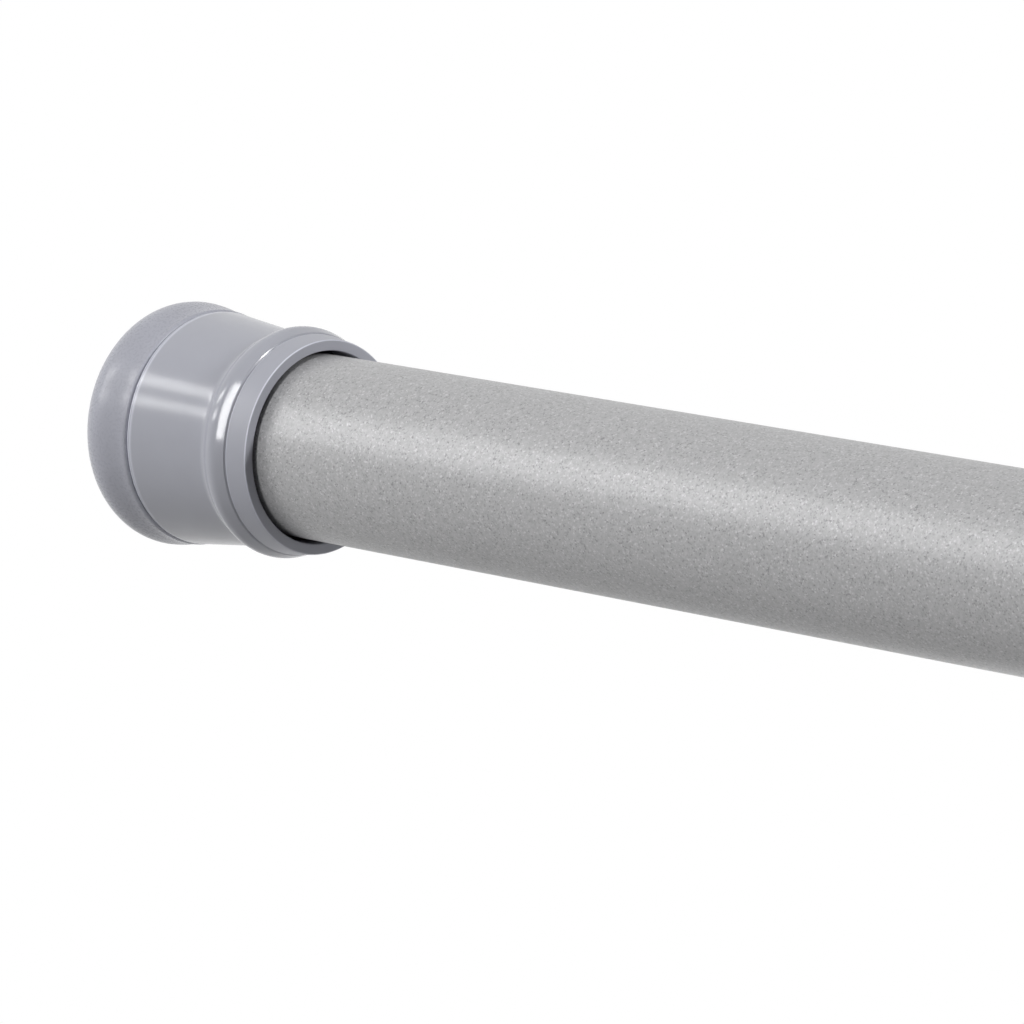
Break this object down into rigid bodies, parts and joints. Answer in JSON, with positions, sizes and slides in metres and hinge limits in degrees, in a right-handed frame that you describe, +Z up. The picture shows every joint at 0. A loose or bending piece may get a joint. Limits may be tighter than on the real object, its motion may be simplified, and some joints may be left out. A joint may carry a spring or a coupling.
{
  "type": "tension shower curtain rod",
  "caption": "Telescoping tension rod for a shower curtain: two painted tubes with a twist lock and spring inside, and a moulded end cap with a soft wall pad at each end.",
  "frame": {"origin": "centre of wall face A, the flat face of the picture end's wall pad", "axes": "+X along the rod from wall A to wall B, +Z up, +Y towards the back"},
  "size_m": [1.524, 0.034, 0.034],
  "materials": {
    "pad_vinyl": "soft satin",
    "cap_plastic": "semi-gloss",
    "tube_paint": "satin metallic paint with a fine sparkle",
    "collar_plastic": "matt",
    "lock_plastic": "matt",
    "shoe_plastic": "matt",
    "plain_steel": "plain"
  },
  "bodies": {
    "cap_a": {"wall_pad_a": "pad_vinyl", "end_cap_a": "cap_plastic"},
    "outer_tube": {"outer_tube": "tube_paint", "tube_collar": "collar_plastic"},
    "lock_slider": {"lock_washer": "plain_steel"},
    "lock_spindle": {"spindle": "plain_steel", "retaining_clip": "plain_steel", "stop_washer": "plain_steel", "tension_spring": "plain_steel", "lock_core": "lock_plastic", "core_pin": "plain_steel", "lock_nut": "plain_steel"},
    "lock_shoe": {"lock_shoe": "shoe_plastic"},
    "inner_tube": {"inner_tube": "tube_paint", "guide_plug": "lock_plastic", "spring_anchor": "lock_plastic"},
    "cap_b": {"reducer_sleeve": "collar_plastic", "end_cap_b": "cap_plastic", "wall_pad_b": "pad_vinyl"}
  },
  "joints": [
    {"name": "cap_a_turn", "type": "hinge", "parent": "cap_a", "child": "outer_tube", "pos_m": [0.02, 0, 0], "axis": [1, 0, 0], "continuous": true},
    {"name": "telescope_slide", "type": "slide", "parent": "outer_tube", "child": "lock_slider", "axis": [1, 0, 0], "range_m": [-0.406, 0.305]},
    {"name": "lock_twist", "type": "hinge", "parent": "lock_slider", "child": "lock_spindle", "pos_m": [0.45, 0, 0], "axis": [1, 0, 0], "range_deg": [0, 50]},
    {"name": "shoe_turn", "type": "hinge", "parent": "lock_spindle", "child": "lock_shoe", "pos_m": [0.45, 0, 0.0008], "axis": [1, 0, 0], "range_deg": [-50, 0]},
    {"name": "spring_slide", "type": "slide", "parent": "lock_spindle", "child": "inner_tube", "axis": [1, 0, 0], "range_m": [-0.03, 0], "stiffness_N_per_m": 3200, "springref_m": 0.012, "deforming": ["tension_spring"]},
    {"name": "cap_b_turn", "type": "hinge", "parent": "inner_tube", "child": "cap_b", "pos_m": [1.5, 0, 0], "axis": [1, 0, 0], "continuous": true}
  ],
  "couplings": [
    {"joint": "shoe_turn", "follows": "lock_twist", "ratio": -1}
  ]
}
